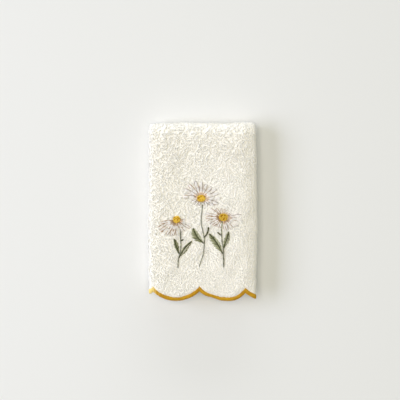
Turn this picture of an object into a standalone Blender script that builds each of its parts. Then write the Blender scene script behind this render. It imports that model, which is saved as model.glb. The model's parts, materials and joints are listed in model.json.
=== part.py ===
"""A small hand towel with a scalloped, bound end, folded in three across its width and then in three
along its length, so that the scalloped end lies on top.

Metres, +Z up. +X runs across the folded towel and +Y along it, away from the scallops. The folded towel
lies on z = 0 with the origin under the middle of its box.
"""

import math
from collections import namedtuple

import bmesh
import bpy
from mathutils import Vector

MM = 0.001

# The towel as it is cut.
FLAT_WIDTH = 300 * MM
FLAT_LENGTH = 500 * MM
CLOTH_THICKNESS = 2.6 * MM  # terry with its pile, pressed by its own folds
LAYER_GAP = 0.5 * MM

# The scalloped end and the band that is stitched round it.
SCALLOPS = 6
SCALLOP_DEPTH = 10.6 * MM
BAND_WIDTH = 4.2 * MM
BAND_THICKNESS = 2.0 * MM
BAND_BEVEL = 0.5 * MM
BAND_GAP = 0.4 * MM
NOTCH_REACH = 7 * MM  # how far from a notch its mitre shapes the band

# The fold across the width: the face panel, and the two flaps turned under it.
FACE_LEFT = 50.8 * MM  # from the middle of the cloth to the start of the left fold
FACE_RIGHT = 57.4 * MM
LEFT_FOLD_RADIUS = 2.7 * MM
DIP_DEGREES = 12  # the left flap sinks beside its fold, where no other flap lies under it

# The fold along the length.
FACE_LENGTH = 166 * MM  # from the notches between the scallops to the start of the top fold
BACK_LENGTH = 153 * MM

# Distances that follow from those above.
PITCH = CLOTH_THICKNESS + LAYER_GAP
STRIP_THICKNESS = 2 * PITCH + CLOTH_THICKNESS
STRIP_PITCH = STRIP_THICKNESS + LAYER_GAP
STACK_HEIGHT = 2 * STRIP_PITCH + STRIP_THICKNESS
HALF_WIDTH = FLAT_WIDTH / 2
SCALLOP_WIDTH = FLAT_WIDTH / SCALLOPS
SCALLOP_RADIUS = (SCALLOP_WIDTH**2 / 4 + SCALLOP_DEPTH**2) / (2 * SCALLOP_DEPTH)
SCALLOP_CENTRE = SCALLOP_RADIUS - SCALLOP_DEPTH  # how far the arcs' centres lie inside the notches
CUT_LENGTH = FLAT_LENGTH - SCALLOP_DEPTH - BAND_WIDTH / 2  # from the notches to the plain end

# How finely each stretch is faceted.
SCALLOP_PIECES = 8
EDGE_SHARES = (0.0, 0.35, 0.7)  # rows that lead from the scallops to the first straight row
FIRST_ROW = 24 * MM
ROW_CLEARANCE = 5 * MM

Stretch = namedtuple("Stretch", "name length degrees pieces")
Leg = namedtuple("Leg", "begin end x z heading radius")
Lift = namedtuple("Lift", "side begin reach")
Swell = namedtuple("Swell", "name x y half_width half_length rise")
Push = namedtuple("Push", "along amount")


def turn(name, radius, degrees, pieces):
    """A round stretch. Positive degrees turn anticlockwise in its own section."""
    return Stretch(name, radius * math.radians(abs(degrees)), degrees, pieces)


def across_stretches():
    """The section across the width, from the left flap's free edge to the right flap's."""
    dip_drop = 2 * LEFT_FOLD_RADIUS - PITCH
    dip_radius = dip_drop / (2 * (1 - math.cos(math.radians(DIP_DEGREES))))
    dip_in = turn("dip begins", dip_radius, DIP_DEGREES, 2)
    dip_out = turn("dip ends", dip_radius, -DIP_DEGREES, 2)
    left_fold = turn("left fold", LEFT_FOLD_RADIUS, -180, 6)
    right_fold = turn("right fold", PITCH, -180, 6)
    left_flap = HALF_WIDTH - FACE_LEFT - left_fold.length - dip_in.length - dip_out.length
    return (
        Stretch("left flap", left_flap, 0, 1),
        dip_in,
        dip_out,
        left_fold,
        Stretch("face", FACE_LEFT + FACE_RIGHT, 0, 1),
        right_fold,
        Stretch("right flap", HALF_WIDTH - FACE_RIGHT - right_fold.length, 0, 1),
    )


def along_stretches():
    """The section along the length, from the notches to the plain end, which lies inside the stack."""
    top_fold = turn("top fold", STRIP_PITCH, -180, 8)
    bottom_fold = turn("bottom fold", STRIP_PITCH / 2, -180, 6)
    inner = CUT_LENGTH - FACE_LENGTH - top_fold.length - BACK_LENGTH - bottom_fold.length
    return (
        Stretch("face", FACE_LENGTH, 0, 6),
        top_fold,
        Stretch("back", BACK_LENGTH, 0, 5),
        bottom_fold,
        Stretch("inner", inner, 0, 4),
    )


# The flaps' scallops are drawn in behind the face's, each over a reach from its fold.
FLAP_LIFT = 14 * MM
LIFTS = (
    Lift(side=-1, begin=51 * MM, reach=22 * MM),
    Lift(side=1, begin=62 * MM, reach=20 * MM),
)

# Soft rises and dips of the face, in the towel's plane from the middle notch.
SWELLS = (
    Swell("dish beside the flowers", -14 * MM, 105 * MM, 28 * MM, 85 * MM, -2.4 * MM),
    Swell("ridge right of the flowers", 45 * MM, 80 * MM, 22 * MM, 95 * MM, 3.0 * MM),
    Swell("slope into the right fold", 62 * MM, 80 * MM, 10 * MM, 120 * MM, -3.4 * MM),
    Swell("slope into the left fold", -60 * MM, 85 * MM, 14 * MM, 150 * MM, -3.2 * MM),
    Swell("raised top right corner", 42 * MM, 174 * MM, 18 * MM, 12 * MM, 1.3 * MM),
    Swell("hollow beside that corner", 27 * MM, 172 * MM, 13 * MM, 14 * MM, -0.9 * MM),
    Swell("left scallop droops", -24 * MM, -12 * MM, 22 * MM, 13 * MM, -1.4 * MM),
    Swell("right scallop droops", 20 * MM, -12 * MM, 15 * MM, 12 * MM, -2.2 * MM),
)

# How far the two sides, the top fold and the scalloped end move from their neat lines, place by place.
RIGHT_SIDE = (
    Push(-12 * MM, -0.9 * MM),
    Push(70 * MM, 0.7 * MM),
    Push(130 * MM, 0.0 * MM),
    Push(180 * MM, -1.2 * MM),
)
LEFT_SIDE = (
    Push(-12 * MM, 0.3 * MM),
    Push(60 * MM, -0.5 * MM),
    Push(180 * MM, 0.4 * MM),
)
TOP_SIDE = (
    Push(-58 * MM, -1.8 * MM),
    Push(-12 * MM, 0.2 * MM),
    Push(28 * MM, -1.0 * MM),
    Push(50 * MM, 0.8 * MM),
)
BOTTOM_SIDE = (
    Push(-30 * MM, 0.0 * MM),
    Push(-10 * MM, 0.3 * MM),
    Push(4 * MM, 0.6 * MM),
    Push(15 * MM, 1.6 * MM),
    Push(24 * MM, 0.3 * MM),
    Push(42 * MM, -1.8 * MM),
    Push(50 * MM, -1.0 * MM),
    Push(58 * MM, -0.2 * MM),
)

# Where each push begins, going towards its side, and the stretch over which it grows to its full amount.
SIDE_BEGINS, SIDE_GROWS = 20 * MM, 40 * MM
TOP_BEGINS, TOP_GROWS = 120 * MM, 60 * MM
BOTTOM_BEGINS, BOTTOM_GROWS = 20 * MM, 26 * MM
LOWEST_SHARE = 0.3  # the lowest layer keeps straighter sides


def clear_scene():
    for obj in list(bpy.data.objects):
        bpy.data.objects.remove(obj)


def smooth(share):
    share = max(0.0, min(1.0, share))
    return share * share * (3 - 2 * share)


def legs_of(stretches, x, z, heading):
    """Lays the stretches end to end from a point, as legs that know where they begin."""
    legs = []
    begin = 0.0
    for stretch in stretches:
        radius = stretch.length / math.radians(stretch.degrees) if stretch.degrees else None
        legs.append(Leg(begin, begin + stretch.length, x, z, heading, radius))
        x, z, heading = on_leg(legs[-1], stretch.length)
        begin += stretch.length
    return legs


def on_leg(leg, distance):
    """The point and the heading at a distance along one leg."""
    if leg.radius is None:
        x = leg.x + distance * math.cos(leg.heading)
        z = leg.z + distance * math.sin(leg.heading)
        return x, z, leg.heading
    heading = leg.heading + distance / leg.radius
    x = leg.x + leg.radius * (math.sin(heading) - math.sin(leg.heading))
    z = leg.z + leg.radius * (math.cos(leg.heading) - math.cos(heading))
    return x, z, heading


def on_section(legs, distance):
    """The point and the heading at a distance along the section, which runs straight on past its ends."""
    leg = next((leg for leg in legs if distance <= leg.end), legs[-1])
    return on_leg(leg, distance - leg.begin)


def across_section():
    """The width's section, with the cloth's middle at x = 0 and the strip's middle layer at z = 0."""
    legs = legs_of(across_stretches(), 0.0, 0.0, math.pi)
    middle_x, middle_z, _ = on_section(legs, HALF_WIDTH)
    return legs_of(across_stretches(), -middle_x, PITCH - middle_z, math.pi)


def along_section():
    return legs_of(along_stretches(), 0.0, STACK_HEIGHT - STRIP_THICKNESS / 2, 0.0)


ACROSS = across_section()
ALONG = along_section()


def lift(u):
    """How far along the strip the cloth at u is drawn up behind the face."""
    return sum(FLAP_LIFT * smooth((row.side * u - row.begin) / row.reach) for row in LIFTS)


def pushed(rows, along):
    """The push at a place, eased from row to row."""
    if along <= rows[0].along:
        return rows[0].amount
    for before, after in zip(rows, rows[1:]):
        if along <= after.along:
            share = smooth((along - before.along) / (after.along - before.along))
            return before.amount + share * (after.amount - before.amount)
    return rows[-1].amount


def settled(x, y, z):
    """The neat fold's point, moved as the cloth has settled. The layer on the surface stays flat."""
    height = max(0.0, z - CLOTH_THICKNESS) / (STACK_HEIGHT - CLOTH_THICKNESS)
    for swell in SWELLS:
        far = ((x - swell.x) / swell.half_width) ** 2 + ((y - swell.y) / swell.half_length) ** 2
        z += swell.rise * math.exp(-far) * height
    right = smooth((x - SIDE_BEGINS) / SIDE_GROWS)
    left = smooth((-x - SIDE_BEGINS) / SIDE_GROWS)
    top = smooth((y - TOP_BEGINS) / TOP_GROWS)
    bottom = smooth((BOTTOM_BEGINS - y) / BOTTOM_GROWS)
    loose = LOWEST_SHARE + (1 - LOWEST_SHARE) * height
    x += loose * (right * pushed(RIGHT_SIDE, y) + left * pushed(LEFT_SIDE, y))
    y += loose * (top * pushed(TOP_SIDE, x) + bottom * pushed(BOTTOM_SIDE, x))
    return x, y, z


def folded(u, along):
    """Where a point of the cloth lies: u across the flat cloth, and so far along the folded strip."""
    x, layer, _ = on_section(ACROSS, u + HALF_WIDTH)
    y, z, heading = on_section(ALONG, along)
    return Vector(settled(x, y - layer * math.sin(heading), z + layer * math.cos(heading)))


def columns():
    """Places across the cloth: even steps along each scallop, and finer ones round the side folds."""
    folds = []
    for leg, stretch in zip(ACROSS, across_stretches()):
        if abs(stretch.degrees) == 180:
            step = stretch.length / stretch.pieces
            folds.append([leg.begin - HALF_WIDTH + i * step for i in range(stretch.pieces + 1)])
    count = SCALLOPS * SCALLOP_PIECES
    steps = [-HALF_WIDTH + i * FLAT_WIDTH / count for i in range(count + 1)]
    clear = [u for u in steps if not any(fold[0] < u < fold[-1] for fold in folds)]
    return sorted(clear + [u for fold in folds for u in fold])


def straight_rows():
    """Places along the strip, from the first straight row to the last one before the plain end."""
    rows = []
    for leg, stretch in zip(ALONG, along_stretches()):
        step = stretch.length / stretch.pieces
        rows += [leg.begin + i * step for i in range(stretch.pieces)]
    return [FIRST_ROW] + [row for row in rows if row > FIRST_ROW + ROW_CLEARANCE]


def grid_mesh(name, grid):
    """A mesh of quads over rows of points."""
    bm = bmesh.new()
    rows = [[bm.verts.new(point) for point in row] for row in grid]
    for low, high in zip(rows, rows[1:]):
        for i in range(len(low) - 1):
            bm.faces.new((low[i], low[i + 1], high[i + 1], high[i]))
    mesh = bpy.data.meshes.new(name)
    bm.to_mesh(mesh)
    bm.free()
    mesh.shade_smooth()
    return mesh


def material(name, colour, roughness):
    made = bpy.data.materials.new(name)
    made.use_nodes = True
    shader = made.node_tree.nodes["Principled BSDF"]
    shader.inputs["Base Color"].default_value = (*colour, 1.0)
    shader.inputs["Roughness"].default_value = roughness
    shader.inputs["Metallic"].default_value = 0.0
    made.diffuse_color = (*colour, 1.0)
    return made


def sheet_object(name, grid, thickness, finish):
    """A sheet of even thickness whose middle runs through the grid's points."""
    obj = bpy.data.objects.new(name, grid_mesh(name, grid))
    bpy.context.scene.collection.objects.link(obj)
    obj.data.materials.append(finish)
    solid = obj.modifiers.new("thickness", "SOLIDIFY")
    solid.thickness = thickness
    solid.offset = 0.0
    solid.use_even_offset = True
    solid.use_quality_normals = True
    return obj


def scallop_edge(inside):
    """The scalloped line a distance inside the band's middle line, as points across and along the strip.

    A column moves square to its arc, so that lines at different distances stay parallel, and less the
    nearer it is to a notch, where it stays in the mitre.
    """
    line = []
    for u in columns():
        scallop = min(int((u + HALF_WIDTH) / SCALLOP_WIDTH), SCALLOPS - 1)
        from_middle = u + HALF_WIDTH - (scallop + 0.5) * SCALLOP_WIDTH
        clear = min(1.0, (SCALLOP_WIDTH / 2 - abs(from_middle)) / NOTCH_REACH)
        moved = clear * from_middle * inside / SCALLOP_RADIUS
        rise = math.sqrt((SCALLOP_RADIUS - inside) ** 2 - (from_middle - moved) ** 2)
        line.append((u - moved, SCALLOP_CENTRE - rise + lift(u)))
    return line


def towel_cloth():
    """The terry, one piece from the scallops to the plain end."""
    places = columns()
    grid = []
    for share in EDGE_SHARES:
        row = []
        for u, (edge_u, edge) in zip(places, scallop_edge(BAND_WIDTH / 2 + BAND_GAP)):
            row.append(folded(edge_u + share * (u - edge_u), edge + share * (FIRST_ROW - edge)))
        grid.append(row)
    grid += [[folded(u, along) for u in places] for along in straight_rows()]
    grid.append([folded(u, CUT_LENGTH + lift(u)) for u in places])
    return sheet_object("towel_cloth", grid, CLOTH_THICKNESS, material("terry", (0.87, 0.83, 0.73), 0.95))


def scallop_band():
    """The band along the scallops, mitred in the notches, from one side edge of the cloth to the other."""
    sides = (BAND_WIDTH / 2, -BAND_WIDTH / 2)
    grid = [[folded(u, along) for u, along in scallop_edge(side)] for side in sides]
    finish = material("gold thread", (0.62, 0.34, 0.03), 0.5)
    obj = sheet_object("scallop_band", grid, BAND_THICKNESS, finish)
    bevel = obj.modifiers.new("round edges", "BEVEL")
    bevel.width = BAND_BEVEL
    bevel.segments = 1
    bevel.limit_method = "ANGLE"
    bevel.angle_limit = math.radians(60)
    return obj


def centre_over_origin(objects):
    """Moves the finished towel so that it lies on z = 0, under the middle of its box."""
    bpy.context.view_layer.update()
    graph = bpy.context.evaluated_depsgraph_get()
    corners = [Vector(corner) for obj in objects for corner in obj.evaluated_get(graph).bound_box]
    low = Vector([min(corner[axis] for corner in corners) for axis in range(3)])
    high = Vector([max(corner[axis] for corner in corners) for axis in range(3)])
    for obj in objects:
        obj.location = (-(low.x + high.x) / 2, -(low.y + high.y) / 2, -low.z)


clear_scene()
centre_over_origin([towel_cloth(), scallop_band()])
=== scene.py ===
import json
import math

import bpy
import numpy as np
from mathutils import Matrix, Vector, kdtree

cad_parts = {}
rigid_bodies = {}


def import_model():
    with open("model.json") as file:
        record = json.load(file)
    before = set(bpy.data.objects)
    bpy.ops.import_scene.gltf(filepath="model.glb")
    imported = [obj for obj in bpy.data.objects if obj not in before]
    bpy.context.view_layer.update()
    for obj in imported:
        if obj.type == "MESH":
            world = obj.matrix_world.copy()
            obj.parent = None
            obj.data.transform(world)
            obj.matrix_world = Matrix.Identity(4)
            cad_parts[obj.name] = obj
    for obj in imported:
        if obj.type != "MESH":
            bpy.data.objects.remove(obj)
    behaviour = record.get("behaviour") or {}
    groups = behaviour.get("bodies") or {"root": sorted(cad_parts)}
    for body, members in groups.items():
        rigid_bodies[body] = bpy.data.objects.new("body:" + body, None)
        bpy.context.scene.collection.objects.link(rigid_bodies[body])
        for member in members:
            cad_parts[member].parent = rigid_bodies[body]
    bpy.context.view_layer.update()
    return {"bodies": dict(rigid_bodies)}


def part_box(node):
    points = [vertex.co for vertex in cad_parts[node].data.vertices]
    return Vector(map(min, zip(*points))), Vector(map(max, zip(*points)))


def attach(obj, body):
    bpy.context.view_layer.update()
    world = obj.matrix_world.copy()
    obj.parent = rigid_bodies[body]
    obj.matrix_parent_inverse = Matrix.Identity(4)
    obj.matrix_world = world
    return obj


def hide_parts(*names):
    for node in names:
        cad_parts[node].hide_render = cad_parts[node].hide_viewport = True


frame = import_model()

# Everything below is in millimetres until it becomes a mesh.
# On the flat cloth u runs across from the middle notch, s along the folded strip from the notches,
# and d out of the cloth towards its outer face.
mm = 0.001


# How the towel is folded: the same neat fold as the solids have, then softened.

towel = {
    "width": 300,
    "length": 500,
    "thickness": 2.6,
    "gap": 0.5,
    "scallops": 6,
    "scallopDepth": 10.6,
    "edging": 4.2,  # its width
    "faceLeft": 50.8,  # from the middle notch to the side folds
    "faceRight": 57.4,
    "leftFold": 2.7,  # radius
    "dip": 12,  # degrees that the left flap sinks beside its fold
    "face": 166,  # from the notches to the top fold
    "back": 153,
    "lift": 14,  # the flaps' scallops are drawn in behind the face's
    "leftLift": (51, 22),  # begins, takes
    "rightLift": (62, 20),
}

# soft rises and dips of the face: x, y, half width, half length, rise
swells = {
    "dishBesideFlowers": (-14, 105, 28, 85, -2.4),
    "ridgeRightOfFlowers": (45, 80, 22, 95, 3.0),
    "slopeToRightFold": (62, 80, 10, 120, -3.4),
    "slopeToLeftFold": (-60, 85, 14, 150, -3.2),
    "topRightCorner": (42, 174, 18, 12, 1.3),
    "besideThatCorner": (27, 172, 13, 14, -0.9),
    "leftScallopDroops": (-24, -12, 22, 13, -1.4),
    "rightScallopDroops": (20, -12, 15, 12, -2.2),
}

# how far the sides, the top fold and the scalloped end are moved: places along the side, and pushes
sides = {
    "right": ((-12, 70, 130, 180), (-0.9, 0.7, 0.0, -1.2)),
    "left": ((-12, 60, 180), (0.3, -0.5, 0.4)),
    "top": ((-58, -12, 28, 50), (-1.8, 0.2, -1.0, 0.8)),
    "bottom": ((-30, -10, 4, 15, 24, 42, 50, 58), (0.0, 0.3, 0.6, 1.6, 0.3, -1.8, -1.0, -0.2)),
}
# where each push begins, going towards its side, and the stretch over which it grows
pushGrows = {"side": (20, 40), "top": (120, 60), "bottom": (-20, 26)}
lowestShare = 0.3  # the lowest layer keeps straighter sides

halfWidth = towel["width"] / 2
pitch = towel["thickness"] + towel["gap"]
stripThickness = 2 * pitch + towel["thickness"]
stripPitch = stripThickness + towel["gap"]
stackHeight = 2 * stripPitch + stripThickness
scallopWidth = towel["width"] / towel["scallops"]
scallopRadius = (scallopWidth**2 / 4 + towel["scallopDepth"] ** 2) / (2 * towel["scallopDepth"])
scallopCentre = scallopRadius - towel["scallopDepth"]
cutLength = towel["length"] - towel["scallopDepth"] - towel["edging"] / 2


def smooth(share):
    share = np.clip(share, 0.0, 1.0)
    return share * share * (3 - 2 * share)


def walk(x, z, heading, bend, distance):
    # on along a straight line or an arc
    turned = heading + bend * distance
    straight = np.abs(bend) < 1e-9
    safe = np.where(straight, 1.0, bend)
    x = np.where(straight, x + distance * np.cos(heading), x + (np.sin(turned) - np.sin(heading)) / safe)
    z = np.where(straight, z + distance * np.sin(heading), z + (np.cos(heading) - np.cos(turned)) / safe)
    return x, z, turned


def layOut(stretches, x, z, heading):
    # stretches are (length, degrees); a leg knows where it begins, its start, heading and bend
    legs = []
    begin = 0.0
    for length, degrees in stretches:
        bend = math.radians(degrees) / length
        legs.append((begin, x, z, heading, bend))
        x, z, heading = (float(value) for value in walk(x, z, heading, bend, length))
        begin += length
    return np.array(legs)


def onSection(legs, distance):
    leg = np.clip(np.searchsorted(legs[:, 0], distance, side="right") - 1, 0, len(legs) - 1)
    begin, x, z, heading, bend = np.moveaxis(legs[leg], -1, 0)
    return walk(x, z, heading, bend, distance - begin)


def halfTurn(radius):
    return (math.pi * radius, -180)


def acrossStretches():
    drop = 2 * towel["leftFold"] - pitch
    dipRadius = drop / (2 * (1 - math.cos(math.radians(towel["dip"]))))
    dipLength = dipRadius * math.radians(towel["dip"])
    leftFold = halfTurn(towel["leftFold"])
    rightFold = halfTurn(pitch)
    return (
        (halfWidth - towel["faceLeft"] - leftFold[0] - 2 * dipLength, 0),
        (dipLength, towel["dip"]),
        (dipLength, -towel["dip"]),
        leftFold,
        (towel["faceLeft"] + towel["faceRight"], 0),
        rightFold,
        (halfWidth - towel["faceRight"] - rightFold[0], 0),
    )


def alongStretches():
    topFold = halfTurn(stripPitch)
    bottomFold = halfTurn(stripPitch / 2)
    inner = cutLength - towel["face"] - topFold[0] - towel["back"] - bottomFold[0]
    return ((towel["face"], 0), topFold, (towel["back"], 0), bottomFold, (inner, 0))


across = layOut(acrossStretches(), 0.0, 0.0, math.pi)
middleX, middleZ, _ = onSection(across, np.array([halfWidth]))
across = layOut(acrossStretches(), -float(middleX[0]), pitch - float(middleZ[0]), math.pi)
along = layOut(alongStretches(), 0.0, stackHeight - stripThickness / 2, 0.0)

leftFoldEnds = (-towel["faceLeft"] - math.pi * towel["leftFold"], -towel["faceLeft"])
rightFoldEnds = (towel["faceRight"], towel["faceRight"] + math.pi * pitch)
topFoldEnds = (along[1, 0], along[2, 0])
bottomFoldEnds = (along[3, 0], along[4, 0])


def lift(u):
    raised = 0.0
    for side, (begin, takes) in ((-1, towel["leftLift"]), (1, towel["rightLift"])):
        raised = raised + towel["lift"] * smooth((side * u - begin) / takes)
    return raised


def pushed(side, place):
    places, pushes = sides[side]
    later = np.clip(np.searchsorted(places, place, side="right"), 1, len(places) - 1)
    places, pushes = np.array(places, float), np.array(pushes)
    share = smooth((place - places[later - 1]) / (places[later] - places[later - 1]))
    return pushes[later - 1] + share * (pushes[later] - pushes[later - 1])


def grown(way, distance):
    begins, takes = pushGrows[way]
    return smooth((distance - begins) / takes)


def settled(x, y, z):
    height = np.maximum(0.0, z - towel["thickness"]) / (stackHeight - towel["thickness"])
    rise = 0.0
    for atX, atY, wide, long, amount in swells.values():
        far = ((x - atX) / wide) ** 2 + ((y - atY) / long) ** 2
        rise = rise + amount * np.exp(-far)
    z = z + rise * height
    loose = lowestShare + (1 - lowestShare) * height
    x = x + loose * (grown("side", x) * pushed("right", y) + grown("side", -x) * pushed("left", y))
    y = y + loose * (grown("top", y) * pushed("top", x) + grown("bottom", -y) * pushed("bottom", x))
    return np.stack([x, y, z], axis=-1)


def folded(u, s, d):
    # where a point of the flat cloth lies in the folded towel, still about the middle notch
    x, layer, turn = onSection(across, u + halfWidth)
    x = x - np.sin(turn) * d
    layer = layer + np.cos(turn) * d
    y, z, turn = onSection(along, s)
    return settled(x, y - layer * np.sin(turn), z + layer * np.cos(turn))


def placeOfTowel():
    # the shift that lays this fold on the frame's cloth
    half = towel["thickness"] / 2
    u, s = np.meshgrid(np.linspace(-halfWidth, halfWidth, 601), np.linspace(0, cutLength, 801))
    points = np.concatenate([folded(u, s, np.full_like(u, d)).reshape(-1, 3) for d in (-half, half)])
    low, high = (np.array(corner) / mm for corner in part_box("towel_cloth"))
    shift = (low + high) / 2 - (points.min(0) + points.max(0)) / 2
    shift[1] = high[1] - points[:, 1].max()
    return shift


towelPlace = placeOfTowel()
print("the middle notch is at", towelPlace.round(2), "mm")


floorSoft = 0.12  # a point nearer the surface below than this is eased onto it


def inRowFrame(flat):
    # flat points (u, s, d) to metres in the frame; nothing goes below the surface it lies on
    points = folded(flat[..., 0], flat[..., 1], flat[..., 2]) + towelPlace
    low = points[..., 2]
    eased = floorSoft * np.exp((low - floorSoft) / floorSoft)
    points[..., 2] = np.where(low < floorSoft, eased, low)
    return points * mm


# Building meshes from arrays.


def ripple(u, s, wavelength, seed, waves=20, spread=(0.75, 1.4)):
    # a soft random field with a spread of about 1
    random = np.random.default_rng(seed)
    angle = random.uniform(0, 2 * math.pi, waves)
    number = 2 * math.pi / (wavelength * random.uniform(*spread, waves))
    phase = random.uniform(0, 2 * math.pi, waves)
    total = np.zeros(np.shape(u))
    for a, k, p in zip(angle, number, phase):
        total = total + np.cos(k * (u * math.cos(a) + s * math.sin(a)) + p)
    return total * math.sqrt(2 / waves)


def addObject(name, data):
    made = bpy.data.objects.new(name, data)
    bpy.context.scene.collection.objects.link(made)
    return made


def makeMesh(name, points, polygons, finish):
    # points in metres; polygons is a list of whole arrays, each with its own number of corners
    mesh = bpy.data.meshes.new(name)
    corners = [np.asarray(group, np.int32) for group in polygons if len(group)]
    totals = np.concatenate([np.full(len(group), group.shape[1], np.int32) for group in corners])
    indices = np.concatenate([group.ravel() for group in corners])
    points = np.asarray(points, np.float32).reshape(-1, 3)
    mesh.vertices.add(len(points))
    mesh.vertices.foreach_set("co", points.ravel())
    mesh.loops.add(len(indices))
    mesh.loops.foreach_set("vertex_index", indices)
    starts = np.concatenate([[0], np.cumsum(totals)[:-1]])
    mesh.polygons.add(len(totals))
    mesh.polygons.foreach_set("loop_start", starts.astype(np.int32))
    mesh.polygons.foreach_set("loop_total", totals)
    mesh.polygons.foreach_set("use_smooth", np.ones(len(totals), bool))
    mesh.update(calc_edges=True)
    mesh.validate()
    mesh.materials.append(finish)
    return addObject(name, mesh)


def unit(vectors):
    return vectors / np.maximum(np.linalg.norm(vectors, axis=-1, keepdims=True), 1e-9)


def ringFaces(start, corners):
    # the faces from each ring to the next; start holds the rings' first corners
    at = np.arange(corners)
    after = (at + 1) % corners
    quads = np.stack([start + at, start + corners + at, start + corners + after, start + after], -1)
    return quads.reshape(-1, 4)


def tubes(centres, radii, across, corners):
    # many short tubes at once: centres (n, k, 3), radii (n, k), across (n, 3) is square to each one's bend
    count, rings = centres.shape[:2]
    tangent = unit(np.gradient(centres, axis=1))
    side = np.broadcast_to(unit(across)[:, None, :], centres.shape)
    up = unit(np.cross(side, tangent))
    angle = np.arange(corners) * 2 * math.pi / corners + math.pi / 2
    ring = up[:, :, None, :] * np.sin(angle)[:, None] + side[:, :, None, :] * np.cos(angle)[:, None]
    points = centres[:, :, None, :] + radii[:, :, None, None] * ring
    start = ((np.arange(count) * rings)[:, None] + np.arange(rings - 1))[:, :, None] * corners
    first = start[:, 0] + np.arange(corners)
    last = first[:, ::-1] + (rings - 1) * corners
    return points.reshape(-1, 3), [ringFaces(start, corners), first, last]


# Finishes.


class Wire:
    # one output of a node; arithmetic on it adds Math nodes
    def __init__(self, finish, socket):
        self.finish = finish
        self.socket = socket

    def math(self, operation, first, second):
        return self.finish.node("Math", {"operation": operation}, {0: first, 1: second})

    def __add__(self, other):
        return self.math("ADD", self, other)

    def __sub__(self, other):
        return self.math("SUBTRACT", self, other)

    def __mul__(self, other):
        return self.math("MULTIPLY", self, other)


class Finish:
    # a material as it is being made
    def __init__(self, name):
        self.material = bpy.data.materials.new(name)
        self.material.use_nodes = True
        self.tree = self.material.node_tree
        self.tree.nodes.clear()
        self.place = self.node("TexCoord", {}, {}, "Object")

    def node(self, kind, settings, sockets, output=0):
        made = self.tree.nodes.new("ShaderNode" + kind)
        for name, value in settings.items():
            setattr(made, name, value)
        for name, value in sockets.items():
            if isinstance(value, Wire):
                self.tree.links.new(value.socket, made.inputs[name])
            else:
                made.inputs[name].default_value = value
        return Wire(self, made.outputs[output]) if made.outputs else None

    def noise(self, size, detail=2.0):
        # soft blotches of a size in millimetres, from 0 to 1
        return self.node("TexNoise", {}, {"Vector": self.place, "Scale": 1 / (size * mm), "Detail": detail})

    def mix(self, share, first, second):
        settings = {"data_type": "RGBA", "clamp_factor": True}
        colours = [value if isinstance(value, Wire) else (*value, 1.0) for value in (first, second)]
        return self.node("Mix", settings, {0: share, 6: colours[0], 7: colours[1]}, 2)

    def bump(self, height, depth):
        return self.node("Bump", {}, {"Height": height, "Distance": depth * mm, "Strength": 1.0})

    def surface(self, changing, fixed):
        shader = self.node("BsdfPrincipled", {}, {**changing, **fixed})
        self.node("OutputMaterial", {}, {"Surface": shader})
        return self.material


cotton = {
    # the same in every finish
    "contrast": 1.6,  # of the blotches
    "roughSpread": 0.2,
    "sheenRoughness": 0.5,
}


def cottonFinish(name, look):
    # thread or terry: two near shades in soft blotches, a finer one on top, fuzz from the sheen
    finish = Finish(name)
    blotches = finish.noise(look["blotch"])
    fibres = finish.noise(look["fibre"], 3.0)
    share = blotches * cotton["contrast"] - (cotton["contrast"] - 1) / 2
    colour = finish.mix(share, look["colour"], look["second"])
    colour = finish.mix(fibres * look["fibreShare"], colour, look["deep"])
    changing = {
        "Base Color": colour,
        "Roughness": fibres * cotton["roughSpread"] + (look["roughness"] - cotton["roughSpread"] / 2),
        "Normal": finish.bump(fibres, look["bump"]),
    }
    fixed = {
        "Specular IOR Level": look["gloss"],
        "Sheen Weight": look["sheen"],
        "Sheen Roughness": cotton["sheenRoughness"],
        "Sheen Tint": (*look["colour"], 1.0),
    }
    return finish.surface(changing, fixed)


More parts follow.
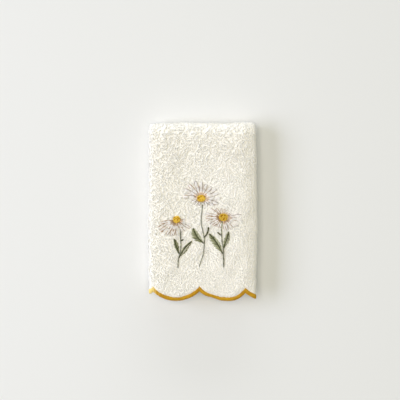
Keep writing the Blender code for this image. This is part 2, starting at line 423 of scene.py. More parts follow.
# what some threads share: yellow and brown, white and peach, the petals' outlines, green
goldThread = {
    "blotch": 1.5, "fibre": 0.25, "fibreShare": 0.3, "bump": 0.05,
    "roughness": 0.5, "gloss": 0.25, "sheen": 0.1,
}
paleThread = {
    "blotch": 3, "fibre": 0.25, "fibreShare": 0.3, "bump": 0.04,
    "roughness": 0.55, "gloss": 0.3, "sheen": 0.25,
}
dullThread = {
    "blotch": 3, "fibre": 0.25, "fibreShare": 0.3, "bump": 0.04,
    "roughness": 0.7, "gloss": 0.2, "sheen": 0.2,
}
plyThread = {
    "blotch": 4, "fibre": 0.25, "fibreShare": 0.35, "bump": 0.05,
    "roughness": 0.55, "gloss": 0.35, "sheen": 0.2,
}
finishes = {
    "terryGround": {
        "colour": (0.96, 0.94, 0.87), "second": (0.95, 0.92, 0.84), "deep": (0.91, 0.86, 0.76),
        "blotch": 9, "fibre": 0.9, "fibreShare": 0.5, "bump": 0.3,
        "roughness": 0.9, "gloss": 0.1, "sheen": 0.5,
    },
    "terryLoops": {
        "colour": (0.90, 0.89, 0.847), "second": (0.895, 0.882, 0.828), "deep": (0.855, 0.83, 0.762),
        "blotch": 6, "fibre": 0.7, "fibreShare": 0.3, "bump": 0.08,
        "roughness": 0.88, "gloss": 0.12, "sheen": 0.5,
    },
    "mustardThread": {
        "colour": (0.76, 0.46, 0.018), "second": (0.52, 0.26, 0.008), "deep": (0.38, 0.18, 0.006),
        **goldThread, "blotch": 5, "fibreShare": 0.35,
    },
    # painted highlight: a paler copy of the mustard thread, for the edging stitches that the light from the
    # left strikes over the left fold
    "highlitMustardThread": {
        "colour": (0.92, 0.76, 0.30), "second": (0.88, 0.68, 0.22), "deep": (0.74, 0.50, 0.10),
        **goldThread, "blotch": 2,
    },
    "yellowThread": {
        "colour": (0.93, 0.69, 0.09), "second": (0.88, 0.60, 0.07), "deep": (0.68, 0.40, 0.03),
        **goldThread,
    },
    "brownThread": {
        "colour": (0.64, 0.31, 0.012), "second": (0.46, 0.21, 0.01), "deep": (0.22, 0.09, 0.006),
        **goldThread, "fibreShare": 0.4, "roughness": 0.6, "gloss": 0.08, "sheen": 0.0,
    },
    "whiteThread": {
        "colour": (0.96, 0.935, 0.89), "second": (0.94, 0.90, 0.86), "deep": (0.88, 0.83, 0.78),
        **paleThread,
    },
    "peachThread": {
        "colour": (0.95, 0.70, 0.47), "second": (0.90, 0.64, 0.44), "deep": (0.68, 0.46, 0.32),
        **paleThread, "blotch": 2,
    },
    "taupeThread": {
        "colour": (0.33, 0.265, 0.225), "second": (0.41, 0.32, 0.28), "deep": (0.23, 0.17, 0.14),
        **dullThread,
    },
    "tanThread": {
        "colour": (0.47, 0.31, 0.165), "second": (0.42, 0.27, 0.16), "deep": (0.30, 0.19, 0.11),
        **dullThread,
    },
    "sageThread": {
        "colour": (0.32, 0.325, 0.18), "second": (0.40, 0.405, 0.235), "deep": (0.21, 0.21, 0.105),
        **plyThread,
    },
    "paleSageThread": {
        "colour": (0.50, 0.51, 0.33), "second": (0.56, 0.57, 0.40), "deep": (0.36, 0.37, 0.22),
        **plyThread,
    },
    "stemThread": {
        "colour": (0.19, 0.19, 0.14), "second": (0.27, 0.27, 0.20), "deep": (0.125, 0.125, 0.09),
        **plyThread,
    },
    "oliveThread": {
        "colour": (0.065, 0.07, 0.02), "second": (0.09, 0.10, 0.035), "deep": (0.04, 0.045, 0.012),
        **plyThread,
    },
}
materials = {name: cottonFinish(name, look) for name, look in finishes.items()}


# The ground cloth: one closed sheet from the scallops to the plain end.

ground = {
    "half": 0.8,  # half its thickness, under the loops
    "step": 2.5,  # between columns and rows
    "foldSteps": 12,
    "leadRows": 7,  # from the scallops to the first straight row
    "firstRow": 24,
    "hem": 8,  # the plain end's
    "hemThicker": 0.4,
    "fromEdging": 1.0,  # it begins this far inside the edging's middle line
    "uneven": 0.6,  # its share of the pile's unevenness
}
lumps = {"fine": (4.0, 0.08), "broad": (22, 0.22)}  # the pile's unevenness: size, and rise


def lump(u, s):
    rise = 0.0
    for seed, (size, amount) in enumerate(lumps.values()):
        rise = rise + amount * ripple(u, s, size, 11 + seed)
    return rise


def scallopLine(u, inside):
    # the outline at u, a distance inside the edging's middle line, on the strip
    fromMiddle = (u + halfWidth) % scallopWidth - scallopWidth / 2
    return scallopCentre - np.sqrt((scallopRadius - inside) ** 2 - fromMiddle**2) + lift(u)


def withFolds(low, high, *folds):
    # even steps from low to high, finer round each fold
    step = ground["step"]
    places = np.arange(low, high + step / 2, step)
    for begin, end in folds:
        places = places[(places < begin - step / 4) | (places > end + step / 4)]
        places = np.concatenate([places, np.linspace(begin, end, ground["foldSteps"] + 1)])
    return np.sort(places)


def makeGroundCloth():
    columns = withFolds(-halfWidth, halfWidth, leftFoldEnds, rightFoldEnds)
    rows = withFolds(ground["firstRow"], cutLength, topFoldEnds, bottomFoldEnds)
    edge = scallopLine(columns, ground["fromEdging"])
    shares = np.linspace(0, 1, ground["leadRows"], endpoint=False)[:, None]
    lead = edge + shares * (rows[0] - edge)
    s = np.concatenate([lead, np.repeat(rows[:, None], len(columns), 1)])
    s[-1] = cutLength + lift(columns)
    u = np.broadcast_to(columns, s.shape)
    thick = ground["half"] * (1 + ground["hemThicker"] * (s > cutLength - ground["hem"]))
    uneven = lump(u, s) * ground["uneven"]
    outer = np.stack([u, s, thick + uneven], -1)
    inner = np.stack([u, s, -thick + uneven], -1)
    points = inRowFrame(np.concatenate([outer.reshape(-1, 3), inner.reshape(-1, 3)]))
    count, wide = s.shape
    corner = (np.arange(count - 1)[:, None] * wide + np.arange(wide - 1)).ravel()
    top = np.stack([corner, corner + 1, corner + wide + 1, corner + wide], -1)
    under = top[:, ::-1] + count * wide
    index = np.arange(count * wide).reshape(count, wide)
    border = np.concatenate([index[0], index[1:, -1], index[-1, -2::-1], index[-2:0:-1, 0]])
    ahead = np.roll(border, -1)
    rim = np.stack([ahead, border, border + count * wide, ahead + count * wide], -1)
    return makeMesh("terryCloth", points, [top, under, rim], materials["terryGround"])


cloth = makeGroundCloth()
print("ground cloth:", len(cloth.data.polygons), "faces")


# The stitched edging along the scallops.

edging = {
    "thickness": 2.5,
    "thread": 0.27,  # radius
    "threadSides": 4,
    "spacing": 0.44,
    "turns": 10,  # points along one stitch
    "wrap": 165,  # degrees each way from the outer edge
    "slant": 0.5,  # between a stitch's two faces
    "uneven": 0.07,  # of their places
    "unevenReach": 0.07, "unevenHeight": 0.06, "unevenInside": 0.12,
    "last": 0.995,  # share of a scallop, so that no stitch crosses a notch
    "thinFrom": 6, "thinTo": 26, "thinFades": 6, "thinWidth": 0.84,  # the edge curls under here
    "coreStations": 26,  # for each scallop
    "coreSides": 8,
    "highlightTo": -50.4,  # painted highlight: the stitches over the left fold, as far as this, take a paler copy of the mustard thread that stands in for the light from the left striking them
    "highlightFades": 9.0, "highlightSkew": 1.5,
}


def alongEdging(scallop, share):
    # u on the edging's middle line; share runs from -1 to 1 along one scallop
    return share * scallopWidth / 2 + (scallop + 0.5) * scallopWidth - halfWidth


def edgingPoints(scallop, share, outward, d):
    # the share is the same whatever the distance outward of the middle line
    radius = scallopRadius + outward
    turn = share * np.arcsin(scallopWidth / 2 / radius)
    u = radius * np.sin(turn) + alongEdging(scallop, 0.0)
    s = scallopCentre - radius * np.cos(turn) + lift(alongEdging(scallop, share))
    return np.stack(np.broadcast_arrays(u, s, d), -1)


def edgingReach(scallop, share):
    # half its width
    u = alongEdging(scallop, share)
    begun = smooth((u - edging["thinFrom"]) / edging["thinFades"])
    thin = begun * smooth((edging["thinTo"] - u) / edging["thinFades"])
    return towel["edging"] / 2 * (1 - (1 - edging["thinWidth"]) * thin)


def makeEdgingCore():
    # a plump cord of edging under the stitches, closed at both ends
    sides = edging["coreSides"]
    shares = np.linspace(-1, 1, edging["coreStations"], endpoint=False)
    scallop = np.append(np.repeat(np.arange(towel["scallops"]), len(shares)), towel["scallops"] - 1)
    share = np.append(np.tile(shares, towel["scallops"]), 1.0)
    angle = np.arange(sides) * 2 * math.pi / sides
    reach = (edgingReach(scallop, share) - edging["thread"])[:, None]
    half = edging["thickness"] / 2 - edging["thread"]
    flat = edgingPoints(scallop[:, None], share[:, None], reach * np.cos(angle), half * np.sin(angle))
    last = len(share) - 1
    at = np.arange(sides)
    ends = np.array([at[::-1], at + last * sides])
    faces = [ringFaces((np.arange(last) * sides)[:, None], sides)[:, ::-1], ends]
    return makeMesh("edgingCore", inRowFrame(flat.reshape(-1, 3)), faces, materials["mustardThread"])


def makeEdgingStitches():
    random = np.random.default_rng(5)
    arc = 2 * scallopRadius * math.asin(scallopWidth / 2 / scallopRadius)
    perScallop = round(arc / edging["spacing"])
    count = perScallop * towel["scallops"]
    even = (np.arange(perScallop) + 0.5) / perScallop * 2 - 1
    share = np.tile(even, towel["scallops"]) + random.uniform(-1, 1, count) * edging["uneven"] / arc
    share = np.clip(share, -edging["last"], edging["last"])
    scallop = np.repeat(np.arange(towel["scallops"]), perScallop)
    wrap = np.radians(np.linspace(edging["wrap"], -edging["wrap"], edging["turns"]))

    def uneven(amount):
        return 1 + amount * random.uniform(-1, 1, (count, 1))

    reach = edgingReach(scallop, share)[:, None] * uneven(edging["unevenReach"])
    height = edging["thickness"] / 2 * uneven(edging["unevenHeight"])
    inner = np.where(np.cos(wrap) < 0, uneven(edging["unevenInside"]), 1.0)
    place = share[:, None] + edging["slant"] / arc * np.sin(wrap)
    outward = reach * np.cos(wrap) * inner
    centres = edgingPoints(scallop[:, None], place, outward, height * np.sin(wrap))
    near = 0.01
    before, beyond = (edgingPoints(scallop, share + step, 0.0, 0.0) for step in (-near, near))
    radii = np.full(centres.shape[:2], edging["thread"])
    u = alongEdging(scallop, share)
    # painted highlight: stitches over the left fold get the paler mustard thread in place of the light
    # falling on them there
    highlightTo = edging["highlightTo"] + edging["highlightFades"] * random.random(count) ** edging["highlightSkew"]
    highlitOnFold = (u > leftFoldEnds[0]) & (u < highlightTo)
    made = []
    for name, chosen, finish in (
        ("edgingStitches", ~highlitOnFold, "mustardThread"),
        ("edgingHighlitOnFold", highlitOnFold, "highlitMustardThread"),
    ):
        thread = (centres[chosen], radii[chosen], (beyond - before)[chosen], edging["threadSides"])
        points, faces = tubes(*thread)
        made.append(makeMesh(name, inRowFrame(points), faces, materials[finish]))
    return made


edgingCore = makeEdgingCore()
edgingStitches, edgingHighlitOnFold = makeEdgingStitches()
print("edging:", len(edgingStitches.data.polygons), "faces")


# The embroidery. Every stitch is a short arched thread that dives into the cloth at both ends.

slots = {
    "yellow": "mustard_thread", "brown": "mustard_thread",
    "white": "white_thread", "peach": "white_thread",
    "taupe": "taupe_thread", "tan": "taupe_thread",
    "sage": "sage_thread", "paleSage": "sage_thread", "stem": "sage_thread",
    "olive": "olive_thread",
}
threads = {name: [] for name in slots}
stitchRandom = np.random.default_rng(23)


def stitch(thread, start, end, radius, level, arch=0.25):
    # start and end are (u, s); level is the thread's height over the cloth's middle
    threads[thread].append((*start, *end, radius, level, arch))


def compass(turn):
    return np.array([math.cos(turn), math.sin(turn)])


pathPoints = 160


def along2d(points):
    # a smooth curve through a few points, read off evenly, and its length
    points = np.array(points, float)
    padded = np.concatenate([[2 * points[0] - points[1]], points, [2 * points[-1] - points[-2]]])
    curve = []
    for a, b, c, d in zip(padded, padded[1:], padded[2:], padded[3:]):
        t = np.linspace(0, 1, 24, endpoint=False)[:, None]
        bend = (2 * a - 5 * b + 4 * c - d) * t**2 + (3 * b - a - 3 * c + d) * t**3
        curve.append(0.5 * (2 * b + (c - a) * t + bend))
    curve = np.concatenate(curve + [points[-1:]])
    run = np.concatenate([[0], np.cumsum(np.linalg.norm(np.diff(curve, axis=0), axis=1))])
    at = np.linspace(0, run[-1], pathPoints)
    return np.stack([np.interp(at, run, curve[:, 0]), np.interp(at, run, curve[:, 1])], -1), run[-1]


rope = {
    # overlapping slanted stitches, unless a piece says otherwise
    "step": 1.3,
    "length": 3.0,
    "sway": 0.36,
    "level": 1.9,
    "uneven": (0.65, 1.3),
    "olive": 0.17,  # share of darker stitches
    "paleSage": 0.12,  # share of paler ones in a stem
}
twig = {"radius": 0.58, "step": 1.2, "length": 2.4}
rib = {"radius": 0.74, "step": 1.2, "length": 2.6, "sway": 0.25, "level": 2.1}


def stemStitches(thread, points, radius, **changes):
    look = {**rope, **changes}
    path, total = along2d(points)
    last = pathPoints - 1
    for i in range(int(total / look["step"]) + 1):
        ends = []
        for side in (-0.5, 0.5):
            at = np.clip((i * look["step"] + side * look["length"]) / total, 0, 1) * last
            low = int(min(at, last - 1))
            point = path[low] + (path[low + 1] - path[low]) * (at - low)
            ahead = unit(path[low + 1] - path[low])
            ends.append(point + 2 * side * look["sway"] * np.array([-ahead[1], ahead[0]]))
        chance = stitchRandom.random()
        sewn = thread
        if chance < look["olive"]:
            sewn = "olive"
        elif chance > 1 - look["paleSage"] and thread == "stem":
            sewn = "paleSage"
        stitch(sewn, ends[0], ends[1], radius * stitchRandom.uniform(*look["uneven"]), look["level"])


daisies = {
    # disc is its half width and half height, petals reach a length at an angle from its middle, half is a
    # petal's half width, tan is the share of its outlines in the browner thread, line is their weight
    "middle": {
        "at": (1.8, 97.6), "disc": (4.7, 3.6), "seeds": "bright",
        "half": 1.75, "tan": 0.25, "line": 0.85, "stem": 0.37,
        "petals": ((-20, 20.5), (-3, 22.5), (17, 21.5), (34, 21), (52, 18), (72, 17.5), (92, 19),
                   (112, 21), (133, 21.5), (151, 21.8), (171, 20), (200, 12), (228, 11), (252, 9),
                   (290, 9), (313, 11), (332, 17)),
    },
    "left": {
        "at": (-24.5, 75.0), "disc": (4.0, 3.8), "seeds": "bright",
        "half": 1.35, "tan": 0.85, "line": 1.1, "stem": 0.52,
        "petals": ((-166, 18.5), (-156, 23), (-146, 23.5), (-135, 23), (-124, 21.5), (-112, 20),
                   (-100, 19), (-86, 18.5), (-63, 16), (-50, 17), (-36, 18.5), (-21, 18.8), (-7, 17.5)),
    },
    "right": {
        "at": (25.6, 77.3), "disc": (4.9, 4.1), "seeds": "dark",
        "half": 1.3, "tan": 0.85, "line": 1.05, "stem": 0.52,
        "petals": ((-177, 20), (-166, 20), (-153, 17.5), (-139, 15.5), (-124, 13.5), (-108, 13),
                   (-86, 14), (-71, 15.5), (-56, 16.5), (-41, 17.8), (-26, 20), (-11, 21.5), (3, 20),
                   (19, 17), (37, 12), (58, 10), (82, 9.6), (106, 10.6), (130, 13), (151, 17.5),
                   (170, 20.2)),
    },
}
petal = {
    "lane": 1.1,  # between white threads side by side
    "lanesReach": 0.6,  # of its half width
    "level": 1.95,
    "white": 0.37, "whiteLength": 8.0,
    "whiteBegins": (0.02, 0.2), "whiteEnds": (0.02, 0.12),  # short of the root and the tip by these shares
    "whiteUneven": (0.85, 1.15),
    "outline": 0.28, "outlineLength": 5.2,
    "outlineBegins": 0.1, "outlineEnds": 0.92,  # of the way to the tip
    "outlineUneven": (0.8, 1.2), "outlineArch": 0.2, "dash": 0.98,
    "missing": (0.05, 0.35),  # share of each side's outline that the loops hide
    "missingRight": 0.36,  # and more on petals that point right
    "thinRight": 0.25,
    "taupeRight": 0.6,  # fewer brown lines there
    "peach": 0.27, "peachLevel": 2.05,
    "peachLanes": (-0.5, 0.6),
    "peachEnds": (0.15, 0.5),
    "bend": 0.1,  # of its length
    "fullLength": 12,  # a shorter petal is narrower
    "rootWidth": 0.25,  # share of its greatest width
    "reach": 0.96, "skew": 1.25, "roundness": 0.9,  # how its width swells and closes
    "rootAt": 0.9,  # of the way to the disc's rim
    "tanFrom": 1.3, "tanVeins": 0.8,  # browner lines near the root, and veins
}


def petalPoint(root, direction, length, half, bend, share, lane):
    # a point on a petal: share runs out along it, lane from -1 to 1 across it
    square = np.array([-direction[1], direction[0]])
    swell = math.sin(math.pi * petal["reach"] * share ** petal["skew"]) ** petal["roundness"]
    swell = petal["rootWidth"] + (1 - petal["rootWidth"]) * swell
    wide = half * min(1.0, length / petal["fullLength"]) * swell
    return root + direction * share * length + square * (bend * share * share + lane * wide)


def sewPetal(daisy, angle, reach):
    centre = np.array(daisy["at"])
    wide, tall = daisy["disc"]
    direction = compass(math.radians(angle))
    toRim = wide * tall / math.hypot(tall * direction[0], wide * direction[1])
    root = centre + direction * petal["rootAt"] * toRim
    length = reach - np.linalg.norm(root - centre)
    shape = (root, direction, length, daisy["half"], petal["bend"] * stitchRandom.uniform(-1, 1) * length)
    lanes = max(2, round(2 * daisy["half"] / petal["lane"]))
    for lane in np.linspace(-petal["lanesReach"], petal["lanesReach"], lanes):
        pieces = max(1, round(length / petal["whiteLength"]))
        begins = stitchRandom.uniform(*petal["whiteBegins"])
        breaks = np.linspace(begins, 1 - stitchRandom.uniform(*petal["whiteEnds"]), pieces + 1)
        for begin, end in zip(breaks, breaks[1:]):
            ends = [petalPoint(*shape, share, lane) for share in (begin, end)]
            radius = petal["white"] * stitchRandom.uniform(*petal["whiteUneven"])
            stitch("white", *ends, radius, petal["level"])
    pieces = max(2, round(length / petal["outlineLength"]))
    begins = petal["outlineBegins"]
    drawn = petal["outlineEnds"] - begins
    tan = daisy["tan"] * (1 - petal["taupeRight"] * direction[0])
    hidden = petal["missingRight"] * max(0.0, direction[0])
    for side, missing in zip((-1, 1), petal["missing"]):
        for i in range(pieces):
            if stitchRandom.random() < missing + hidden:
                continue
            ends = [petalPoint(*shape, begins + drawn * at / pieces, side) for at in (i, i + petal["dash"])]
            outline = "tan" if stitchRandom.random() < tan * (petal["tanFrom"] - i / pieces) else "taupe"
            radius = petal["outline"] * daisy["line"] * stitchRandom.uniform(*petal["outlineUneven"])
            radius *= 1 - petal["thinRight"] * direction[0]
            stitch(outline, *ends, radius, petal["level"], petal["outlineArch"])
    for lane in petal["peachLanes"]:
        vein = "tan" if stitchRandom.random() < tan * petal["tanVeins"] else "peach"
        shares = (0.0, stitchRandom.uniform(*petal["peachEnds"]))
        ends = [petalPoint(*shape, share, lane) for share in shares]
        stitch(vein, *ends, petal["peach"], petal["peachLevel"])


discs = {
    "under": {"count": 7, "across": 0.8, "reach": 0.9},  # flat stitches below the knots
    "rings": ((0.0, 1), (0.3, 6), (0.58, 12), (0.86, 18)),  # how far out, and knots
    "ringTwist": 7,
    "knot": 0.75,  # half its length
    "dark": (0.5, 0.7), "bright": (0.26, 1.0),  # share of brown knots, and how far out they go
    "rim": {"count": 14, "share": 0.5, "swing": 0.4, "least": 0.9, "out": 1.04, "half": 0.2},
    # radius, level and arch of their threads
    "underThread": (0.6, 1.5, 0.2), "knotThread": (0.46, 2.1, 0.5), "rimThread": (0.3, 1.9, 0.3),
}


def sewDisc(daisy):
    # small knots in rings over a few flat stitches
    under, rim = discs["under"], discs["rim"]
    centre, disc = np.array(daisy["at"]), np.array(daisy["disc"])
    thread = "brown" if daisy["seeds"] == "dark" else "yellow"
    share, within = discs[daisy["seeds"]]
    for across in np.linspace(-under["across"], under["across"], under["count"]):
        reach = under["reach"] * disc[0] * math.sqrt(1 - across * across)
        ends = [centre + np.array([side * reach, across * disc[1]]) for side in (-1, 1)]
        stitch(thread, *ends, *discs["underThread"])
    for ring, count in discs["rings"]:
        for i in range(count):
            turn = 2 * math.pi * (i + 0.5 * ring) / count + ring * discs["ringTwist"]
            at = centre + ring * disc * compass(turn)
            lie = stitchRandom.uniform(0, math.pi)
            half = discs["knot"] * compass(lie)
            chance = stitchRandom.random()
            seed = "brown" if chance < share and ring < within else "yellow"
            stitch(seed, at - half, at + half, *discs["knotThread"])
    # a broken line round it, mostly on its lower left
    for turn in np.linspace(0, 2 * math.pi, rim["count"], endpoint=False):
        if stitchRandom.random() < rim["share"] - rim["swing"] * math.cos(turn - rim["least"]):
            ends = [centre + rim["out"] * disc * compass(turn + side * rim["half"]) for side in (-1, 1)]
            stitch("brown", *ends, *discs["rimThread"])


stems = {
    "middle": ((2.9, 94), (2.7, 86), (1.8, 74.5), (2.2, 68.6), (4.2, 59.1), (5.2, 51.5), (4.4, 40),
               (3.0, 34.4), (1.1, 28.4), (-0.3, 24.1)),
    "left": ((-20.7, 64.5), (-20.5, 60.5), (-20.3, 51.6), (-20.2, 42.3), (-22.2, 34), (-23.0, 30.6),
             (-23.3, 22.3)),
    "right": ((24.2, 73), (23.4, 65.5), (23.7, 56.2), (24.8, 46.9), (25.5, 42.3), (25.5, 37.6),
              (25.9, 30.6), (25.7, 23.7)),
}
twigs = {
    "left": ((-20.2, 52.0), (-17.4, 53.0)),
    "right": ((22.9, 57.8), (19.4, 61.2)),
}
leaves = {
    # the midrib from stem to tip, and for each side, left and right of the way it grows, how wide it is,
    # the share of that width left open beside the rib, and its thread
    "farLeft": {
        "middle": ((-22.2, 38.4), (-24.9, 45.5), (-27.2, 53.8)),
        "left": (1.8, 0.0, "sage"), "right": (2.7, 0.1, "sage"),
    },
    "leftOut": {
        "middle": ((-22.3, 33.6), (-15.2, 45), (-8.6, 51.4)),
        "left": (1.3, 0.0, "sage"), "right": (3.1, 0.6, "sage"),
    },
    "middleOut": {
        "middle": ((4.0, 49.4), (-3.2, 57.2), (-6.8, 65.2)),
        "left": (4.6, 0.0, "sage"), "right": (3.0, 0.0, "paleSage"),
    },
    "middleUp": {
        "middle": ((5.0, 55.8), (8.0, 59.6), (9.7, 66.4)),
        "left": (0.5, 0.0, "olive"), "right": (0.8, 0.0, "olive"),
    },
    "rightOut": {
        "middle": ((24.8, 38.2), (18.6, 49.6), (10.6, 59.4)),
        "left": (4.2, 0.0, "sage"), "right": (2.6, 0.0, "paleSage"),
    },
    "farRight": {
        "middle": ((25.4, 43.8), (28.8, 53.0), (30.9, 61.6)),
        "left": (2.2, 0.0, "sage"), "right": (2.8, 0.5, "paleSage"),
    },
}
leaf = {
    "thread": 0.29,
    "uneven": (0.9, 1.1),
    "spacing": 0.5,
    "level": 1.75, "arch": 0.2,
    "skew": 0.8, "roundness": 0.75,  # how its width swells and closes
    "forward": 0.16,  # how far ahead along the rib a stitch ends, less towards the tip
    "forwardFalls": 0.6,
    "notch": 0.11,  # the edge goes in and out by this share
    "notchStitches": 4,
    "ragged": 0.12,
    "least": 0.25,
    "dark": 0.16,  # share of olive stitches
}


def sewLeaf(middle, left, right):
    path, total = along2d(middle)
    last = pathPoints - 2
    count = int(total / leaf["spacing"])
    for side, (width, opening, thread) in ((1, left), (-1, right)):
        for i in range(count):
            share = (i + 0.5) / count
            far = min(1.0, share + leaf["forward"] * (1 - leaf["forwardFalls"] * share))
            start, end = (path[int(value * last)] for value in (share, far))
            ahead = unit(path[int(far * last) + 1] - end)
            reach = width * math.sin(math.pi * share ** leaf["skew"]) ** leaf["roundness"]
            reach *= 1 + leaf["notch"] * (1 - 2 * (i // leaf["notchStitches"] % 2))
            reach = max(leaf["least"], reach) + stitchRandom.uniform(-leaf["ragged"], leaf["ragged"])
            edge = end + side * reach * np.array([-ahead[1], ahead[0]])
            start = start + opening * (edge - start)
            sewn = "olive" if stitchRandom.random() < leaf["dark"] else thread
            radius = leaf["thread"] * stitchRandom.uniform(*leaf["uneven"])
            stitch(sewn, start, edge, radius, leaf["level"], leaf["arch"])
    stemStitches("olive", middle, **rib)


for name, daisy in daisies.items():
    for angle, reach in daisy["petals"]:
        sewPetal(daisy, angle, reach)
    sewDisc(daisy)
    stemStitches("stem", stems[name], daisy["stem"])
for points in twigs.values():
    stemStitches("olive", points, **twig)
for shape in leaves.values():
    sewLeaf(**shape)

threadTaper = (0.55, 0.92, 1.0, 1.0, 1.0, 0.92, 0.55)
threadSides = 5
threadDive, diveBend = 0.9, 6  # how deep a stitch's ends go, and how suddenly


def makeStitches(thread, rows):
    rows = np.array(rows)
    share = np.linspace(0, 1, len(threadTaper))
    start, end = rows[:, None, 0:2], rows[:, None, 2:4]
    flat = start + share[:, None] * (end - start)
    dive = threadDive * np.abs(2 * share - 1) ** diveBend
    rise = rows[:, 5:6] + rows[:, 6:7] * np.sin(math.pi * share) - dive
    rise = rise + lump(flat[:, :, 0], flat[:, :, 1])
    centres = np.concatenate([flat, rise[:, :, None]], -1)
    way = rows[:, 2:4] - rows[:, 0:2]
    square = np.stack([-way[:, 1], way[:, 0], np.zeros(len(rows))], -1)
    points, faces = tubes(centres, rows[:, 4:5] * np.array(threadTaper), square, threadSides)
    return makeMesh(thread + "Stitches", inRowFrame(points), faces, materials[thread + "Thread"])


embroidery = {thread: makeStitches(thread, rows) for thread, rows in threads.items()}
print("embroidery:", sum(len(rows) for rows in threads.values()), "stitches")


# The loops of the terry, left out under the stitches and pressed low beside them.

pile = {
    "root": 0.6,  # where a loop leaves the ground, over the cloth's middle
    "height": 0.98,
    "width": 0.85,
    "lean": 0.5,
    "fuller": 0.5,
    "dropped": 0.2,  # share of the loops missing where it is full
    "yarn": 0.5,  # radius
    "yarnTaper": (0.8, 1.05, 1.1, 1.05, 0.8),
    "yarnSides": 4,
    "clump": 5.0,  # size of the patches that lean one way
    "lie": 0.6, "swirl": 0.5,  # radians: that way, and how it changes from patch to patch
    "heave": (9.0, 0.06),  # size of the patches that stand higher or lower, and by how much
    "tuft": (2.6, 0.14),  # the same in small
    "heaveLimits": (0.6, 1.5),
    "least": 0.5,  # share of its height where the pile is flattened
    "arch": 0.8, "push": 1.5,  # powers: how squarely a loop stands, and where it leans
    "rows": 0.87,  # of the spacing
    "fromEdging": 2.2,  # of its middle line
    "clear": 0.42,  # no loop this near a stitch's middle
    "pressed": 1.3,  # and low ones as far as this beyond it
    "pressedTo": 0.45,
    "pressedRight": (-2, 4, 0.5), "pressedTop": (0, 9, 0.6),  # folds: begins, takes, share lost
}
standing = {
    # where the pile stands up more: begins, takes
    "left": (20, 45), "aboveScallops": (5, 30),
    "top": (110, 40), "leftOfCorner": (66, 30),
    "leftFold": (-46, 10),
    "flattened": 1.3,  # round the left fold
}
own = {
    # each loop's own share of what it would have
    "place": 0.38,
    "height": (0.62, 1.38),
    "fuller": (0.65, 1.35),
    "lean": (0.5, 1.3),
    "yarn": (0.85, 1.15),
    "lie": 0.8, "twist": 0.6,  # spread in radians
}
wholeFace = (leftFoldEnds[0], rightFoldEnds[1])
patches = {
    # u from and to, s from and to, spacing, height
    "faceLoops": (*wholeFace, -14, 80, 1.75, 1.0),
    "middleFaceLoops": (*wholeFace, 80, 140, 1.75, 1.0),
    "upperFaceLoops": (*wholeFace, 140, topFoldEnds[1], 1.75, 1.0),
    "backLoops": (*wholeFace, topFoldEnds[1], bottomFoldEnds[1], 2.3, 0.7),
    "leftFoldLoops": (*leftFoldEnds, bottomFoldEnds[1], cutLength, 1.8, 0.8),
    "rightFoldLoops": (*rightFoldEnds, bottomFoldEnds[1], cutLength, 1.8, 0.8),
    "leftFlapLoops": (-halfWidth, leftFoldEnds[0], -14, 34, 2.0, 0.7),
    "rightFlapLoops": (rightFoldEnds[1], halfWidth, -14, 34, 2.0, 0.7),
}


def stitchDistances(u, s):
    # how far each place is from the nearest stitch, or farAway outside the embroidery
    rows = np.array(sum(threads.values(), []))
    start, end = rows[:, None, 0:2], rows[:, None, 2:4]
    share = np.linspace(0.02, 0.98, 14)[:, None]
    samples = (start + share * (end - start)).reshape(-1, 2)
    tree = kdtree.KDTree(len(samples))
    for i, (sampleU, sampleS) in enumerate(samples):
        tree.insert((sampleU, sampleS, 0.0), i)
    tree.balance()
    margin, farAway = 3, 9.0
    low, high = samples.min(0) - margin, samples.max(0) + margin
    far = np.full(len(u), farAway)
    near = np.flatnonzero((u > low[0]) & (u < high[0]) & (s > low[1]) & (s < high[1]))
    for i in near:
        far[i] = tree.find((u[i], s[i], 0.0))[2]
    return far


def fuller(u, s):
    # the pile stands up more on the left and towards the top fold, and is flattened round the left fold
    def past(name, place, way=1):
        begins, takes = standing[name]
        return smooth(way * (place - begins) / takes)

    left = past("left", u, -1) * past("aboveScallops", s)
    top = past("top", s) * past("leftOfCorner", u, -1)
    return np.maximum(left, top) - standing["flattened"] * past("leftFold", u, -1)


def pressedFolds(u, s):
    # share of its height that the pile keeps over the right and top folds
    lost = 0.0
    for place, fold in ((u - rightFoldEnds[0], "pressedRight"), (s - topFoldEnds[0], "pressedTop")):
        begins, takes, share = pile[fold]
        lost = np.maximum(lost, share * smooth((place - begins) / takes))
    return 1 - lost


def loopPlaces(random, fromU, toU, fromS, toS, spacing):
    # where the loops stand, and how far each is from the nearest stitch
    u, s = np.meshgrid(np.arange(fromU, toU, spacing), np.arange(fromS, toS, spacing * pile["rows"]))
    u = u + (np.arange(len(u)) % 2)[:, None] * spacing / 2
    astray = own["place"] * spacing
    u = (u + random.uniform(-1, 1, u.shape) * astray).ravel()
    s = (s + random.uniform(-1, 1, s.shape) * astray).ravel()
    far = stitchDistances(u, s)
    side = halfWidth - 0.1
    keep = (np.abs(u) < side) & (far > pile["clear"])
    keep &= s > scallopLine(np.clip(u, -side, side), pile["fromEdging"])
    keep &= random.random(len(u)) > pile["dropped"] * fuller(u, s)
    return u[keep], s[keep], far[keep]


def loopHeights(random, u, s, far, tall):
    press = pile["pressedTo"] + (1 - pile["pressedTo"]) * smooth((far - pile["clear"]) / pile["pressed"])
    heave = 1.0
    for seed, (size, amount) in ((31, pile["heave"]), (37, pile["tuft"])):
        heave = heave + amount * ripple(u, s, size, seed)
    chance = random.uniform(*own["height"], len(u))
    height = pile["height"] * tall * press * np.clip(heave, *pile["heaveLimits"]) * chance
    full = 1 + pile["fuller"] * fuller(u, s) * random.uniform(*own["fuller"], len(u))
    return height * np.maximum(pile["least"], full) * pressedFolds(u, s)


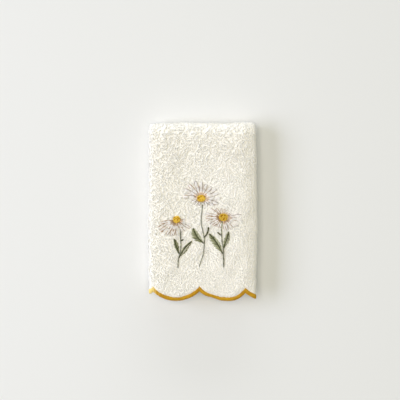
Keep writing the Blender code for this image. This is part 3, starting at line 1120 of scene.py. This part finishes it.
def makeLoops(name, fromU, toU, fromS, toS, spacing, tall):
    random = np.random.default_rng(len(name) * 101 + int(toS))
    u, s, far = loopPlaces(random, fromU, toU, fromS, toS, spacing)
    count = len(u)
    height = loopHeights(random, u, s, far, tall)
    lie = pile["lie"] + pile["swirl"] * ripple(u, s, pile["clump"], 41)
    lie = lie + random.normal(0, own["lie"], count)
    twist = lie + math.pi / 2 + random.normal(0, own["twist"], count)
    t = np.linspace(0, 1, len(pile["yarnTaper"]))
    swing = -np.cos(math.pi * t) * pile["width"] / 2
    rise = np.sin(math.pi * t) ** pile["arch"]
    push = np.sin(math.pi * t) ** pile["push"]
    lean = pile["lean"] * random.uniform(*own["lean"], count)
    centres = np.empty((count, len(t), 3))
    for axis, at, wave in ((0, u, np.cos), (1, s, np.sin)):
        leant = (lean * wave(lie))[:, None] * push
        centres[:, :, axis] = at[:, None] + wave(twist)[:, None] * swing + leant
    centres[:, :, 2] = (pile["root"] + lump(u, s))[:, None] + height[:, None] * rise
    bendSide = np.stack([-np.sin(twist), np.cos(twist), np.full(count, 0.35)], -1)
    radii = pile["yarn"] * random.uniform(*own["yarn"], (count, 1)) * np.array(pile["yarnTaper"])
    points, faces = tubes(centres, radii, bendSide, pile["yarnSides"])
    return makeMesh(name, inRowFrame(points), faces, materials["terryLoops"])


loops = [makeLoops(name, *patch) for name, patch in patches.items()]
for piece in loops:
    print(piece.name, len(piece.data.polygons) * 2, "triangles")


# What each piece rides on; the solids they replace are hidden.

root = next(iter(frame["bodies"]))
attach(cloth, root)
for piece in (edgingCore, edgingStitches, edgingHighlitOnFold):
    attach(piece, root)
for piece in loops:
    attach(piece, root)
for thread, piece in embroidery.items():
    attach(piece, root)
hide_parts("towel_cloth")
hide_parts("scallop_band")


# Floor, light and camera.

stage = {
    "floorSize": 80.0,
    "floorColour": (0.757, 0.757, 0.735),
    "floorRoughness": 0.6,
    "worldColour": (0.955, 1.04, 0.84),
    "worldStrength": 0.204,
    "cameraHeight": 1.3,
    "cameraFromNotch": (0.5, 95.8),  # millimetres across and along
    "cameraSees": 0.4283,  # metres of the towel's face
}
softboxes = {
    # place, width and height, watts, colour
    "side": ((-3.11, 0.11, 2.18), (3.0, 1.8), 92.5, (0.89, 0.935, 1.18)),
    "overhead": ((-0.27, 0.0, 3.79), (2.2, 2.2), 75, (1.08, 1.01, 0.895)),
    "back": ((0.0, 11.25, 1.86), (10.5, 3.6), 684, (0.95, 0.985, 1.08)),
}


def makeStage():
    mesh = bpy.data.meshes.new("floor")
    half = stage["floorSize"] / 2
    corners = [(-half, -half, 0), (half, -half, 0), (half, half, 0), (-half, half, 0)]
    mesh.from_pydata(corners, [], [(0, 1, 2, 3)])
    finish = Finish("floor")
    fixed = {"Base Color": (*stage["floorColour"], 1), "Roughness": stage["floorRoughness"]}
    mesh.materials.append(finish.surface({}, fixed))
    floor = addObject("floor", mesh)
    world = bpy.data.worlds.new("studio")
    world.use_nodes = True
    background = world.node_tree.nodes["Background"]
    background.inputs["Color"].default_value = (*stage["worldColour"], 1)
    background.inputs["Strength"].default_value = stage["worldStrength"]
    bpy.context.scene.world = world


def makeSoftbox(name, place, size, watts, colour):
    light = bpy.data.lights.new(name, "AREA")
    light.shape = "RECTANGLE"
    light.size, light.size_y = size
    light.energy = watts
    light.color = colour
    box = addObject(name, light)
    box.location = place
    box.rotation_euler = (-Vector(place)).to_track_quat("-Z", "Y").to_euler()


def makeCamera():
    data = bpy.data.cameras.new("camera")
    camera = addObject("camera", data)
    x, y = (towelPlace[:2] + stage["cameraFromNotch"]) * mm
    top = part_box("towel_cloth")[1].z
    camera.location = (x, y, stage["cameraHeight"])
    data.lens = data.sensor_width * (stage["cameraHeight"] - top) / stage["cameraSees"]
    bpy.context.scene.camera = camera


makeStage()
for name, softbox in softboxes.items():
    makeSoftbox(name, *softbox)
makeCamera()
bpy.context.scene.view_settings.view_transform = "Standard"
print("floor, light and camera are set")
